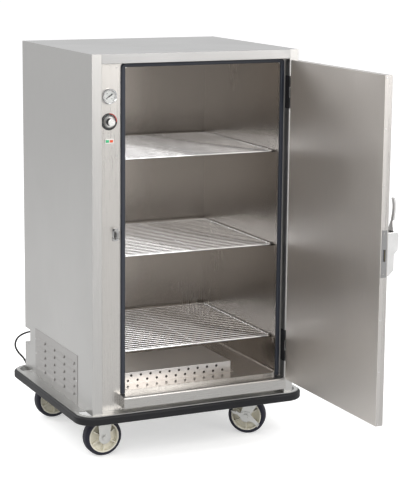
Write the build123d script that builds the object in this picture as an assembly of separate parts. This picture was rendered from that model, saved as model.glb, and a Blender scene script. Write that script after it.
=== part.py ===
from build123d import *
from math import cos, pi, radians, sin, sqrt, tan
import os

# Heated banquet cabinet: an insulated upright cabinet on a bumpered base with four casters.
# Millimetres, +Z up, the door side faces -Y. The pieces are worked out with the casing's
# front left bottom corner at the origin, and place() then moves them so that the origin is
# the middle of the floor area at floor level. The door is written open by a right angle.

# Casing
box_width = 860
box_depth = 764
box_height = 1370
floor_height = 200
sheet = 1.2
bend_radius = 1.5
post_width = 40
hinge_post_width = 38
rail_height = 36
recess_depth = 40
# Opening and inside
opening_left = 148
hinge_wall = 60
opening_right = box_width - hinge_wall
opening_bottom = 72
header_height = 53
opening_top = box_height - header_height
corner_radius = 12
cove_radius = 15
liner_sheet = 1.0
rear_insulation = 46.6
liner_depth = box_depth - recess_depth - 2 * sheet - liner_sheet - rear_insulation
side_insulation = 32
floor_insulation = 50
# Gasket on both sides of the opening and over it
gasket_width = 15
gasket_thickness = 9.7
# Sill under the door
sill_left = 124
sill_low = 17
sill_height = 45
sill_reach = 15
sill_round = 8
# Door
door_left = 130
door_low = 64
door_thickness = 30
door_gap = 2
door_seam = 15
hinge_gap = 5
door_angle = 90
rivet_radius = 2.6
rivet_head = 0.9
rivet_low_heights = (72, 266, 456)
rivet_drops = (429, 227, 48)
rivet_heights = rivet_low_heights + tuple(box_height - drop for drop in rivet_drops)
rivet_inset = 8
# Hinges
hinge_pin_inset = 15
hinge_pin_x = box_width - hinge_pin_inset
hinge_pin_y = -6
hinge_pin_radius = 3
hinge_knuckle_radius = 5
hinge_length = 126
hinge_low_middle = 192
hinge_top_drop = 166
hinge_heights = (hinge_low_middle, box_height - hinge_top_drop)
hinge_leaf = 2
hinge_leaf_depth = 26
hinge_arm = 2.8
running_gap = 0.05
seat_gap = 0.3
# Latch on the door's free edge
latch_drop = 71
latch_low = box_height / 2 - latch_drop
latch_height = 159
latch_width = 44
latch_inset = 4
latch_depth = 47
latch_step = 30
latch_cheek = 4
lever_pivot_y = -30
lever_pivot_z = latch_low + 138
lever_barrel = 7
lever_pin_radius = 3
lever_thickness = 6
lever_taper = 10
lever_reach = 145
lever_top = lever_pivot_z + lever_reach
edge_plate = 1
edge_plate_width = 22
edge_plate_low = latch_low - 2
edge_plate_height = 172
bolt_low = latch_low + 57
bolt_height = 42
bolt_width = 10
bolt_length = 16
bolt_travel = 8
# Strike on the control column
strike_x = 97
strike_width = 24
strike_height = 48
strike_low = bolt_low - (strike_height - bolt_height) - 2
strike_reach = 24
# Control plate and what it carries
plate_left = 42
plate_right = 122
plate_drop = 44
plate_length = 350
plate_high = box_height - plate_drop
plate_low = plate_high - plate_length
plate_screw_inset = 8
screw_radius = 2.9
screw_height = 1.4
gauge_x = 83
gauge_z = plate_high - 115
gauge_radius = 29
gauge_depth = 12
gauge_barrel = 22
gauge_length = 26
knob_x = 84
knob_z = gauge_z - 95
dial_radius = 32
knob_skirt = 23
knob_skirt_depth = 7
knob_cap = 15
knob_reach = 28
shaft_radius = 3
pilot_x = 84
pilot_z = knob_z - 73
pilot_width = 36
pilot_height = 18
pilot_depth = 3.4
lens_width = 13
lens_height = 10
# Shelves
lowest_shelf = opening_bottom + 147
shelf_top_allowance = 123
shelf_pitch = (opening_top - opening_bottom - shelf_top_allowance) / 3
shelf_heights = tuple(lowest_shelf + index * shelf_pitch for index in range(3))
shelf_front = 72
shelf_rear_gap = 23.2
shelf_depth = recess_depth + sheet + liner_depth - shelf_rear_gap - shelf_front
shelf_side_gap = 2
shelf_bar_radius = 4
shelf_wire_radius = 1.8
shelf_wires = 22
ledge_width = 13
ledge_height = 22
ledge_sheet = 1.5
# Heater cover and element
cover_width = 479
cover_front = 123
cover_depth = 268
cover_height = 45
hole_radius = 5
hole_pitch = 41
hole_row_gap = 20
hole_end_gaps = (36, 63)
element_radius = 4
element_lift = 17
element_bend = 45
# Louvred vent panel on the left side
vent_front = 156
vent_rear_gap = 128
vent_width = box_depth - vent_front - vent_rear_gap
vent_low = 3
vent_height = 195
vent_margin = 22
vent_sheet = 1.5
louvre_columns = 4
louvre_rows = 5
louvre_length = 88
louvre_height = 13
louvre_depth = 4.5
# Pocket for the cord in the lower rear left corner
pocket_low = 112
pocket_height = 63
pocket_depth = 60
pocket_width = 110
# Base with its bumper
base_side = 56
base_front = 24
base_rear = 48
base_corner = 78
deck_sheet = 3
corner_gap = 76
corner_slot = 34
bumper_thickness = 22
bumper_height = 33
bumper_round = 9
channel_sheet = 2
lip_inset = 10
pad_size = 118
pad_height = 7
# Casters
wheel_radius = 76
wheel_width = 48
tyre_thickness = 15
shoulder_drop = 7
shoulder_run = 14
caster_side = 88
caster_front = 125
caster_rear_inset = 84
caster_rear = box_depth - caster_rear_inset
caster_plate_length = 104
caster_plate_width = 92
caster_plate = 4
axle_radius = 6
nut_width = 19
nut_height = 7
brake_sheet = 3
brake_tab = 16
hub_width = 54
hub_boss = 17
hub_rim = 6
hub_ribs = 6
fork_gap = 57
fork_sheet = 3.2
fork_end = 25
fork_top_width = 66
caster_trail = 44
kingpin_radius = 7
raceway_radius = 30
raceway_height = 8
front_swivel_angle = -38
rear_swivel_angle = 18
# Cord, routed from its strain relief at the pocket's front wall down to the floor
cord_radius = 4
cord_exit_x = 50
cord_exit_z = 147
relief_length = 35
coil_radius = 60
coil_pitch = 8.6
coil_x = 240
coil_gap = 12
coil_y = box_depth + base_rear + coil_gap
plug_length = 78
plug_neck = 36
plug_flare = 13
plug_radius = 11

# Worked out from the sizes above
right_post_x = box_width - hinge_post_width
rail_low = box_height - rail_height
door_right = right_post_x - hinge_gap
door_high = rail_low - door_gap
back_y = recess_depth + sheet + liner_depth
cover_left = opening_left + cove_radius + 1
pocket_high = pocket_low + pocket_height
pocket_front = box_depth - pocket_depth
base_left = -base_side
base_right = box_width + base_side
base_back = box_depth + base_rear
door_reach = door_right - door_left + hinge_pin_x - door_right - hinge_pin_y + edge_plate
shift_x = -box_width / 2
shift_y = (door_reach - base_back) / 2
axle_z = wheel_radius - floor_height
floor_cord_z = cord_radius - floor_height
column_y = recess_depth - sheet


def place(shape):
    """Move a shape from the casing's corner to the origin on the floor."""
    return Pos(shift_x, shift_y, floor_height) * shape


def open_door(shape):
    """Turn a shape of the closed door about the hinge pin to the written pose."""
    pin = Axis((hinge_pin_x, hinge_pin_y, 0), (0, 0, 1))
    return shape.rotate(pin, door_angle)


def block(x0, x1, y0, y1, z0, z1):
    """A box between two corners."""
    middle = Pos((x0 + x1) / 2, (y0 + y1) / 2, (z0 + z1) / 2)
    return middle * Box(x1 - x0, y1 - y0, z1 - z0)


def rod(start, direction, radius, length):
    """A round rod from a point along a direction."""
    plane = Plane(origin=start, z_dir=direction)
    return plane * Cylinder(radius, length, align=(Align.CENTER, Align.CENTER, Align.MIN))


def prism(points, plane, length):
    """A straight prism of a closed outline drawn on a plane."""
    return extrude(plane * make_face(Polyline(*points, close=True)), length)


def parallel(points, distance):
    """The line that runs beside a bent line of square corners, to its left."""
    shifted = []
    for index, point in enumerate(points):
        before = points[max(index - 1, 0)]
        after = points[min(index + 1, len(points) - 1)]
        move = [0.0, 0.0]
        for first, second in ((before, point), (point, after)):
            length = sqrt((second[0] - first[0]) ** 2 + (second[1] - first[1]) ** 2)
            if length:
                move[0] -= distance * (second[1] - first[1]) / length
                move[1] += distance * (second[0] - first[0]) / length
        shifted.append((point[0] + move[0], point[1] + move[1]))
    return shifted


def folded(points, thickness, plane, length):
    """A sheet folded along a bent line, the sheet lying to the left of the line."""
    return prism(list(points) + parallel(points, thickness)[::-1], plane, length)


def rounded(shape, axis, radius, test):
    """Round the edges along one axis whose middle passes a test."""
    edges = [edge for edge in shape.edges().filter_by(axis) if test(edge.center())]
    return fillet(edges, radius)


def near(value, target):
    return abs(value - target) < 0.01


def ring(width, depth, corner, thickness, height):
    """A flat ring that follows a rectangle with round corners."""
    outer = RectangleRounded(width, depth, corner)
    inner = RectangleRounded(width - 2 * thickness, depth - 2 * thickness, corner - thickness)
    return extrude(outer - inner, height)


def side_panel_left():
    """Left side with its front post, and plates above and below the cord's pocket."""
    line = ((0, pocket_front), (0, 0), (post_width, 0), (post_width, recess_depth))
    panel = folded(line, sheet, Plane.XY, box_height)
    panel = rounded(panel, Axis.Z, bend_radius, lambda c: near(c.Y, 0) and c.X < post_width + 1)
    vent = block(-1, sheet + 1, vent_front + vent_margin, vent_front + vent_width - vent_margin,
                 vent_low + vent_margin, vent_low + vent_height - vent_margin)
    seat = block(sheet, post_width + 1, sheet, recess_depth + 1, box_height - sheet, box_height + 1)
    rear = [block(0, sheet, pocket_front, box_depth, low, high)
            for low, high in ((0, pocket_low), (pocket_high, box_height))]
    return Compound([panel - vent - seat] + rear)


def side_panel_right():
    """Right side with the hinge post folded from the same sheet."""
    line = ((right_post_x, recess_depth), (right_post_x, 0), (box_width, 0), (box_width, box_depth))
    panel = folded(line, sheet, Plane.XY, box_height)
    panel = rounded(panel, Axis.Z, bend_radius, lambda c: near(c.Y, 0))
    return panel - block(right_post_x - 1, box_width - sheet, sheet, recess_depth + 1,
                         box_height - sheet, box_height + 1)


def top_panel():
    """Top with the front rail folded down and back to the recess."""
    top = block(sheet, box_width - sheet, sheet, box_depth - sheet, box_height - sheet, box_height)
    line = ((recess_depth, rail_low), (0, rail_low), (0, box_height), (2 * sheet, box_height))
    plane = Plane(origin=(post_width, 0, 0), x_dir=(0, 1, 0), z_dir=(1, 0, 0))
    rail = folded(line, -sheet, plane, right_post_x - post_width)
    rail = rounded(rail, Axis.X, bend_radius, lambda c: near(c.Y, 0))
    return top + rail


def back_panel():
    """Back in plates, with the walls of the pocket that the cord leaves from."""
    right = pocket_width + sheet
    rear = box_depth - sheet
    plates = [block(right, box_width - sheet, rear, box_depth, sheet, box_height - sheet)]
    for low, high in ((sheet, pocket_low - sheet), (pocket_high + sheet, box_height - sheet)):
        plates.append(block(sheet, right, rear, box_depth, low, high))
    for low in (pocket_low - sheet, pocket_high):
        plates.append(block(sheet, right, pocket_front, box_depth, low, low + sheet))
    plates.append(block(pocket_width, right, pocket_front, box_depth, pocket_low, pocket_high))
    plates.append(block(sheet, right, pocket_front - sheet, pocket_front,
                        pocket_low - sheet, pocket_high + sheet))
    return Compound(plates)


def bottom_pan():
    """Floor sheet of the casing."""
    return block(sheet, box_width - sheet, recess_depth, box_depth - sheet, 0, sheet)


def front_frame():
    """Recessed plate around the opening, with the control column on its left."""
    plate = block(sheet, box_width - sheet, recess_depth, recess_depth + sheet,
                  sheet, box_height - sheet)
    opening = block(opening_left, opening_right, recess_depth - 1, recess_depth + sheet + 1,
                    opening_bottom, opening_top)
    opening = fillet(opening.edges().filter_by(Axis.Y), corner_radius)
    gauge = rod((gauge_x, recess_depth - 1, gauge_z), (0, 1, 0), gauge_barrel + seat_gap, sheet + 2)
    shaft = rod((knob_x, recess_depth - 1, knob_z), (0, 1, 0), shaft_radius + 1, sheet + 2)
    return plate - opening - gauge - shaft


def liner_walls():
    """Left and right walls of the inside."""
    walls = []
    for x0 in (opening_left - liner_sheet, opening_right):
        walls.append(block(x0, x0 + liner_sheet, recess_depth + sheet, back_y,
                           opening_bottom, opening_top))
    return Compound(walls)


def liner_ends():
    """Floor and ceiling of the inside, and the coves that round the floor into the walls."""
    ends = []
    for z0 in (opening_bottom - liner_sheet, opening_top):
        ends.append(block(opening_left - liner_sheet, opening_right + liner_sheet,
                          recess_depth + sheet, back_y, z0, z0 + liner_sheet))
    centre_z = opening_bottom + cove_radius
    for wall, side in ((opening_left, 1), (opening_right, -1)):
        x = wall + side * cove_radius
        cove = block(min(wall, x), max(wall, x), recess_depth + sheet, back_y, opening_bottom, centre_z)
        ends.append(cove - rod((x, recess_depth, centre_z), (0, 1, 0), cove_radius, box_depth))
    return Compound(ends)


def liner_back():
    """Rear wall of the inside."""
    return block(opening_left - liner_sheet, opening_right + liner_sheet, back_y,
                 back_y + liner_sheet, opening_bottom - liner_sheet, opening_top + liner_sheet)


def insulation():
    """Slabs between the liner and the casing."""
    left = opening_left - liner_sheet
    right = opening_right + liner_sheet
    low = opening_bottom - liner_sheet
    high = opening_top + liner_sheet
    front = recess_depth + sheet
    rear = back_y + liner_sheet
    slabs = [block(left - side_insulation, left, front, rear, low, high)]
    slabs.append(block(right, box_width - sheet, front, rear, low, high))
    slabs.append(block(left, right, front, rear, high, box_height - sheet))
    slabs.append(block(left, right, front, rear, low - floor_insulation, low))
    slabs.append(block(left, right, rear, box_depth - sheet, low, high))
    return Compound(slabs)


def door_gasket():
    """Soft seal of two uprights and a head, rounded towards the door."""
    low = door_low - 2 * gasket_width
    high = opening_top + gasket_width + 0.5
    width = opening_right - opening_left + 2 * gasket_width + 2
    seal = ring(width, high - low, gasket_width + 1, gasket_width, gasket_thickness)
    seal = fillet(seal.faces().sort_by(Axis.Z)[-1].edges(), gasket_width / 4)
    middle_x = (opening_left + opening_right) / 2
    plane = Plane(origin=(middle_x, recess_depth, (low + high) / 2), x_dir=(1, 0, 0), z_dir=(0, -1, 0))
    return plane * seal - block(0, box_width, 0, recess_depth + 1, low - 1, door_low)


def door_sill():
    """Box section under the door with its front upper edge rounded."""
    sill = block(sill_left, right_post_x, -sill_reach, recess_depth, sill_low, sill_low + sill_height)
    top_front = sill.edges().filter_by(Axis.X).filter_by(
        lambda e: near(e.center().Y, -sill_reach) and e.center().Z > sill_low + 1)
    sill = fillet(top_front, sill_round)
    hollow = block(sill_left + sheet, right_post_x - sheet, -sill_reach + sheet, recess_depth + 1,
                   sill_low + sheet, sill_low + sill_height - sill_round)
    return sill - hollow


def control_plate():
    """Cover of the control column, bored for what it carries."""
    plate = block(plate_left, plate_right, column_y, recess_depth, plate_low, plate_high)
    gauge = rod((gauge_x, column_y - 1, gauge_z), (0, 1, 0), gauge_barrel + seat_gap, sheet + 2)
    shaft = rod((knob_x, column_y - 1, knob_z), (0, 1, 0), shaft_radius + 1, sheet + 2)
    return plate - gauge - shaft


def screw_head(centre, direction, radius=screw_radius, height=screw_height):
    """Round head with a domed rim."""
    head = Cylinder(radius, height, align=(Align.CENTER, Align.CENTER, Align.MIN))
    head = fillet(head.faces().sort_by(Axis.Z)[-1].edges(), height / 2)
    return Plane(origin=centre, z_dir=direction) * head


def screws():
    """Screw heads of the control plate and of the vent panel."""
    heads = []
    for x in (plate_left + plate_screw_inset, plate_right - plate_screw_inset):
        for z in (plate_low + plate_screw_inset + 2, plate_high - plate_screw_inset - 2):
            heads.append(screw_head((x, column_y, z), (0, -1, 0)))
    for y in (vent_front + vent_margin / 2, vent_front + vent_width - vent_margin / 2):
        for part_way in (0.17, 0.47, 0.77):
            z = vent_low + vent_height * part_way
            heads.append(screw_head((-vent_sheet, y, z), (-1, 0, 0)))
    return Compound(heads)


def around_y(profile, x, z):
    """Turn a profile of radius and depth about a line along Y at a place on the column."""
    plane = Plane(origin=(x, 0, z), x_dir=(1, 0, 0), z_dir=(0, 0, 1))
    face = make_face(Polyline(*profile, close=True))
    return plane * revolve(face, Axis.Y)


def thermometer_case():
    """Bezel and barrel of the dial thermometer."""
    front = column_y - gauge_depth
    inner = gauge_radius - 3.5
    profile = ((0, column_y), (0, column_y - 3), (inner, column_y - 3), (inner, front + 1),
               (inner + 1.2, front), (gauge_radius - 1.5, front), (gauge_radius, front + 2),
               (gauge_radius, column_y), (gauge_barrel, column_y),
               (gauge_barrel, column_y + gauge_length), (0, column_y + gauge_length))
    return around_y(profile, gauge_x, gauge_z)


def thermometer_dial():
    """Dial disc with its raised pointer and the spindle that carries it."""
    back = column_y - 3
    disc = rod((gauge_x, back, gauge_z), (0, -1, 0), gauge_radius - 3.6, 1.6)
    boss = rod((gauge_x, back, gauge_z), (0, -1, 0), 2.4, 4)
    outline = ((-17, 0.5), (-17, -0.5), (0, -1.6), (9, -1.3), (9, -4), (17, 0), (9, 4), (9, 1.3),
               (0, 1.6))
    turned = [(x * cos(radians(32)) - y * sin(radians(32)),
               x * sin(radians(32)) + y * cos(radians(32))) for x, y in outline]
    plane = Plane(origin=(gauge_x, back - 2.2, gauge_z), x_dir=(1, 0, 0), z_dir=(0, -1, 0))
    return disc + boss + prism(turned, plane, 0.8)


def thermometer_glass():
    """Window of the thermometer, held in the bezel."""
    return rod((gauge_x, column_y - gauge_depth + 3.4, gauge_z), (0, 1, 0), gauge_radius - 3.5, 1.6)


def dial_plate():
    """Round scale plate behind the thermostat knob."""
    disc = rod((knob_x, column_y, knob_z), (0, -1, 0), dial_radius, sheet)
    return disc - rod((knob_x, column_y + 1, knob_z), (0, -1, 0), shaft_radius + 1, sheet + 2)


def thermostat():
    """Thermostat body behind the column with its shaft."""
    back = recess_depth + sheet
    body = block(knob_x - 22, knob_x + 22, back, back + 34, knob_z - 26, knob_z + 26)
    tail = rod((knob_x, back + 1, knob_z), (0, -1, 0), shaft_radius, knob_reach - 4)
    return body + tail


def thermostat_knob():
    """Knob with a wide skirt, a round cap, a raised pointer and grip flutes."""
    back = column_y - sheet - seat_gap
    front = back - knob_reach + 2 * seat_gap
    profile = ((0, back), (knob_skirt, back), (knob_skirt, back - 2),
               (knob_skirt - 4, back - knob_skirt_depth), (knob_cap, back - knob_skirt_depth),
               (knob_cap - 0.8, front + 1.5), (knob_cap - 2.3, front), (0, front))
    knob = around_y(profile, knob_x, knob_z)
    bore = rod((knob_x, back + 1, knob_z), (0, -1, 0), shaft_radius + running_gap, knob_reach - 6)
    knob -= bore
    for index in range(12):
        angle = radians(30 * index + 15)
        x = knob_x + (knob_cap + 0.6) * cos(angle)
        z = knob_z + (knob_cap + 0.6) * sin(angle)
        knob -= rod((x, back - knob_skirt_depth - 2, z), (0, -1, 0), 1.6, knob_reach)
    mark = block(knob_x - 1, knob_x + 1, front - 0.8, front + 1, knob_z + 2, knob_z + knob_cap - 3)
    return knob + mark


def lens_places():
    return (pilot_x - pilot_width / 4 + 1, pilot_x + pilot_width / 4 - 1)


def pilot_bezel():
    """Frame of the twin pilot light."""
    bezel = block(pilot_x - pilot_width / 2, pilot_x + pilot_width / 2, column_y - pilot_depth,
                  column_y, pilot_z - pilot_height / 2, pilot_z + pilot_height / 2)
    bezel = fillet(bezel.edges().filter_by(Axis.Y), 2)
    bezel = fillet(bezel.faces().sort_by(Axis.Y)[0].edges(), 0.8)
    for x in lens_places():
        bezel -= block(x - lens_width / 2, x + lens_width / 2, column_y - pilot_depth - 1,
                       column_y - 1, pilot_z - lens_height / 2, pilot_z + lens_height / 2)
    return bezel


def pilot_lenses():
    """Two lenses of the pilot light, domed towards the front."""
    lenses = []
    for x in lens_places():
        lens = block(x - lens_width / 2, x + lens_width / 2, column_y - pilot_depth - 0.9,
                     column_y - 1, pilot_z - lens_height / 2, pilot_z + lens_height / 2)
        lenses.append(chamfer(lens.faces().sort_by(Axis.Y)[0].edges(), 0.8))
    return Compound(lenses)


def strike():
    """Roller strike: a plate with two ears and a roller between them."""
    plate = block(strike_x, strike_x + strike_width, recess_depth - 3, recess_depth,
                  strike_low, strike_low + strike_height)
    plate = fillet(plate.edges().filter_by(Axis.Y), 3)
    middle = strike_low + strike_height / 2
    front = recess_depth - strike_reach
    roller_x = strike_x + strike_width - 8
    body = plate
    for z0 in (middle - 16, middle + 11):
        ear = block(strike_x + 5, strike_x + strike_width - 2, front, recess_depth - 2, z0, z0 + 5)
        ear = rounded(ear, Axis.Z, 6, lambda c: near(c.Y, front))
        body += ear
    roller = rod((roller_x, front + 7, middle - 11.5), (0, 0, 1), 5, 23)
    horn = prism(((0, 0), (14, 0), (5, 11), (0, 11)),
                 Plane(origin=(strike_x + 5, front, middle + 16), x_dir=(1, 0, 0), z_dir=(0, -1, 0)),
                 -4)
    return body + roller + horn


def hinge_barrel(z0, z1, radius):
    return rod((hinge_pin_x, hinge_pin_y, z0), (0, 0, 1), radius, z1 - z0)


def hinge_thirds(middle):
    """The three knuckle spans of a hinge, from the bottom up."""
    low = middle - hinge_length / 2
    third = hinge_length / 3
    return [(low + index * third, low + (index + 1) * third) for index in range(3)]


def hinge_frame_leaves():
    """Leaves that wrap round the hinge post, with the outer knuckles and the pins."""
    solids = []
    for middle in hinge_heights:
        spans = hinge_thirds(middle)
        low, high = spans[0][0], spans[2][1]
        leaf = block(right_post_x - hinge_leaf, right_post_x, 0, hinge_leaf_depth + 4, low, high)
        for z0, z1 in (spans[0], spans[2]):
            leaf += block(right_post_x - hinge_leaf, hinge_pin_x, -hinge_arm, 0, z0, z1)
            leaf += hinge_barrel(z0, z1, hinge_knuckle_radius)
        leaf -= hinge_barrel(low - 1, high + 1, hinge_pin_radius)
        pin = hinge_barrel(low - 2, high + 2, hinge_pin_radius)
        solids += [leaf, pin]
    return Compound(solids)


def hinge_door_leaves():
    """Leaves on the door's hinge edge with the middle knuckles, door closed."""
    solids = []
    for middle in hinge_heights:
        spans = hinge_thirds(middle)
        low, high = spans[0][0], spans[2][1]
        z0, z1 = spans[1][0] + seat_gap, spans[1][1] - seat_gap
        leaf = block(door_right, door_right + hinge_leaf, 2, hinge_leaf_depth + 2, low, high)
        leaf += block(door_right, door_right + hinge_leaf, -hinge_arm - 0.5, 3, z0, z1)
        leaf += block(door_right, hinge_pin_x, -hinge_arm - 0.5, -0.5, z0, z1)
        leaf += hinge_barrel(z0, z1, hinge_knuckle_radius)
        leaf -= hinge_barrel(z0 - 1, z1 + 1, hinge_pin_radius + running_gap)
        solids.append(leaf)
    return open_door(Compound(solids))


def bolt_hole(margin):
    """Space of the latch bolt in the door's edge."""
    middle = door_thickness / 2
    return block(door_left - 5, door_left + edge_plate + bolt_length + bolt_travel + margin,
                 middle - bolt_width / 2 - margin, middle + bolt_width / 2 + margin,
                 bolt_low - margin, bolt_low + bolt_height + margin)


def door_outer_pan():
    """Front skin of the door with its edges folded back to the seam."""
    pan = block(door_left, door_right, 0, door_seam, door_low, door_high)
    pan = rounded(pan, Axis.X, bend_radius, lambda c: near(c.Y, 0))
    hollow = block(door_left + sheet, door_right - sheet, sheet, door_seam + 1,
                   door_low + sheet, door_high - sheet)
    return open_door(pan - hollow - bolt_hole(seat_gap))


def door_inner_pan():
    """Rear skin of the door with its edges folded forward to the seam."""
    pan = block(door_left, door_right, door_seam, door_thickness, door_low, door_high)
    hollow = block(door_left + sheet, door_right - sheet, door_seam - 1, door_thickness - sheet,
                   door_low + sheet, door_high - sheet)
    return open_door(pan - hollow - bolt_hole(seat_gap))


def door_core():
    """Insulation between the two skins of the door."""
    core = block(door_left + sheet, door_right - sheet, sheet, door_thickness - sheet,
                 door_low + sheet, door_high - sheet)
    return open_door(core - bolt_hole(seat_gap + 1))


def door_rivets():
    """Rivet heads along the door's free edge."""
    heads = []
    for z in rivet_heights:
        heads.append(screw_head((door_left, door_thickness - rivet_inset, z), (-1, 0, 0),
                                rivet_radius, rivet_head))
    return open_door(Compound(heads))


def latch_case():
    """Housing of the latch on the door's face, with the plate that covers the door's edge."""
    top = latch_low + latch_height
    outline = ((0, latch_low), (-8, latch_low), (-latch_step, latch_low + 20),
               (-latch_step, latch_low + 78), (-latch_depth + 2, latch_low + 92),
               (-latch_depth, top - 12), (-latch_depth + 6, top), (0, top))
    start = door_left + latch_inset
    plane = Plane(origin=(start, 0, 0), x_dir=(0, 1, 0), z_dir=(1, 0, 0))
    case = prism(outline, plane, latch_width)
    edges = [edge for edge in case.edges() if edge.center().Y < -1 and not near(edge.length, latch_width)]
    case = fillet(edges, 1.8)
    case -= block(start + latch_cheek, start + latch_width - latch_cheek, -latch_depth - 1,
                  lever_pivot_y + lever_barrel + 6, lever_pivot_z - lever_barrel - 3, top + 1)
    case -= rod((start - 1, lever_pivot_y, lever_pivot_z), (1, 0, 0),
                lever_pin_radius + running_gap, latch_width + 2)
    middle = door_thickness / 2
    plate = block(door_left - edge_plate, door_left, middle - edge_plate_width / 2,
                  middle + edge_plate_width / 2, edge_plate_low, edge_plate_low + edge_plate_height)
    plate -= bolt_hole(seat_gap)
    for z in (edge_plate_low + 12, edge_plate_low + edge_plate_height - 12):
        plate -= rod((door_left - edge_plate - 1, middle, z), (1, 0, 0), 2.2, edge_plate + 2)
    return open_door(Compound([case, plate]))


def latch_bolt():
    """Spring bolt that slides in the door's edge, with its sloped nose."""
    middle = door_thickness / 2
    start = door_left + seat_gap
    outline = ((start, middle + bolt_width / 2), (start + bolt_length, middle + bolt_width / 2),
               (start + bolt_length, middle - bolt_width / 2), (start + 5, middle - bolt_width / 2),
               (start, middle - bolt_width / 2 + 4))
    bolt = prism(outline, Plane(origin=(0, 0, bolt_low), x_dir=(1, 0, 0), z_dir=(0, 0, 1)), bolt_height)
    return open_door(bolt)


def latch_lever():
    """Lever that stands up out of the case, its barrel round the pivot pin."""
    start = door_left + latch_inset + latch_cheek + seat_gap
    width = latch_width - 2 * latch_cheek - 2 * seat_gap
    half = lever_thickness / 2
    plane = Plane(origin=(start, 0, 0), x_dir=(0, 1, 0), z_dir=(1, 0, 0))
    line = Spline((lever_pivot_y, lever_pivot_z), (lever_pivot_y - 2, lever_pivot_z + 55),
                  (lever_pivot_y - 8, lever_pivot_z + 108), (lever_pivot_y - 2, lever_top - half))
    blade = extrude(plane * trace(line, lever_thickness), width)
    blade += rod((start, lever_pivot_y, lever_pivot_z), (1, 0, 0), lever_barrel, width)
    narrow = prism(((start - 1, lever_pivot_z + 24), (start + lever_taper, lever_pivot_z + 60),
                    (start + lever_taper, lever_top + 5), (start - 1, lever_top + 5)),
                   Plane(origin=(0, 0, 0), x_dir=(1, 0, 0), z_dir=(0, -1, 0)), 60)
    blade -= narrow
    blade -= mirror(narrow, Plane(origin=(start + width / 2, 0, 0), z_dir=(1, 0, 0)))
    pin = rod((start - latch_cheek - seat_gap, lever_pivot_y, lever_pivot_z), (1, 0, 0),
              lever_pin_radius, latch_width)
    return open_door(blade + pin)


def shelf_ledges():
    """Angles on the two walls that carry the shelves."""
    angles = []
    front = recess_depth + sheet + 18
    length = back_y - front - 6
    for height in shelf_heights:
        top = height - shelf_bar_radius - seat_gap
        left = ((opening_left, top - ledge_height), (opening_left, top),
                (opening_left + ledge_width, top))
        right = ((opening_right - ledge_width, top), (opening_right, top),
                 (opening_right, top - ledge_height))
        for line in (left, right):
            plane = Plane(origin=(0, front + length, 0), x_dir=(1, 0, 0), z_dir=(0, -1, 0))
            angles.append(folded(line, -ledge_sheet, plane, length))
    return Compound(angles)


def shelf(height):
    """Wire shelf: a frame of round bar with cross wires laid on it and a middle rail."""
    left = opening_left + shelf_side_gap + shelf_bar_radius
    right = opening_right - shelf_side_gap - shelf_bar_radius
    front = shelf_front + shelf_bar_radius
    rear = shelf_front + shelf_depth - shelf_bar_radius
    corner = 2 * shelf_bar_radius + 4
    outline = RectangleRounded(right - left, rear - front, corner)
    path = (Pos((left + right) / 2, (front + rear) / 2, height) * outline).wire()
    section = Plane(origin=path @ 0, z_dir=path % 0) * Circle(shelf_bar_radius)
    frame = sweep(section, path)
    rail_x = (left + right) / 2
    frame += rod((rail_x, front, height - shelf_bar_radius / 2), (0, 1, 0), shelf_bar_radius / 2 + 1,
                 rear - front)
    wire_z = height + shelf_bar_radius - 0.6
    pitch = (rear - front - 2 * corner) / (shelf_wires - 1)
    wires = []
    for index in range(shelf_wires):
        y = front + corner + index * pitch
        wires.append(rod((left, y, wire_z), (1, 0, 0), shelf_wire_radius, right - left))
    return frame.fuse(*wires)


def heater_cover():
    """Cover over the element, with two staggered rows of holes in its front."""
    left, right = cover_left, cover_left + cover_width
    low = opening_bottom
    high = low + cover_height
    rear = cover_front + cover_depth
    cover = block(left, right, cover_front, rear, low, high)
    cover = rounded(cover, Axis.X, bend_radius, lambda c: near(c.Z, high))
    cover -= block(left + sheet, right - sheet, cover_front + sheet, rear - sheet, low - 1, high - sheet)
    for row, end_gap in enumerate(hole_end_gaps):
        z = low + cover_height / 2 - hole_row_gap / 2 + row * hole_row_gap
        x = right - end_gap
        while x > left + hole_radius + 4:
            cover -= rod((x, cover_front - 1, z), (0, 1, 0), hole_radius, sheet + 2)
            x -= hole_pitch
    foot = block(right - 1, right + 14, cover_front + 2, cover_front + 24, low, low + sheet)
    return cover + foot


def heating_element():
    """Hairpin element on two brackets under the cover."""
    z = opening_bottom + element_lift
    left = cover_left + 12
    right = cover_left + cover_width - 56
    front = cover_front + 60
    path = FilletPolyline((left, front, z), (right, front, z), (right, front + 2 * element_bend + 10, z),
                          (left, front + 2 * element_bend + 10, z), radius=element_bend)
    section = Plane(origin=path @ 0, z_dir=path % 0) * Circle(element_radius)
    element = sweep(section, path)
    for x in (left + 30, right - 90):
        bar = block(x, x + 14, front - 12, front + 2 * element_bend + 22, opening_bottom,
                    z - element_radius / 2)
        bar -= block(x - 1, x + 15, front + 10, front + 2 * element_bend, opening_bottom - 1,
                     z - element_radius - 3)
        element += bar
    return element


def vent_panel():
    """Screwed panel with pressed louvres that open downwards."""
    panel = block(-vent_sheet, 0, vent_front, vent_front + vent_width, vent_low,
                  vent_low + vent_height)
    pitch_y = (vent_width - 2 * vent_margin) / louvre_columns
    pitch_z = (vent_height - 2 * vent_margin) / louvre_rows
    for column in range(louvre_columns):
        for row in range(louvre_rows):
            y = vent_front + vent_margin + (column + 0.5) * pitch_y - louvre_length / 2
            z = vent_low + vent_margin + (row + 0.5) * pitch_z - louvre_height / 2
            hood = prism(((0, 0), (-louvre_depth, 0), (-louvre_depth * 0.8, louvre_height * 0.45),
                          (0, louvre_height)),
                         Plane(origin=(-vent_sheet, y + louvre_length, z), x_dir=(1, 0, 0),
                               z_dir=(0, -1, 0)), louvre_length)
            slot = block(-vent_sheet - louvre_depth + 1, 1, y + 2, y + louvre_length - 2, z - 1, z + 3)
            panel += hood
            panel -= slot
    return panel


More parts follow.
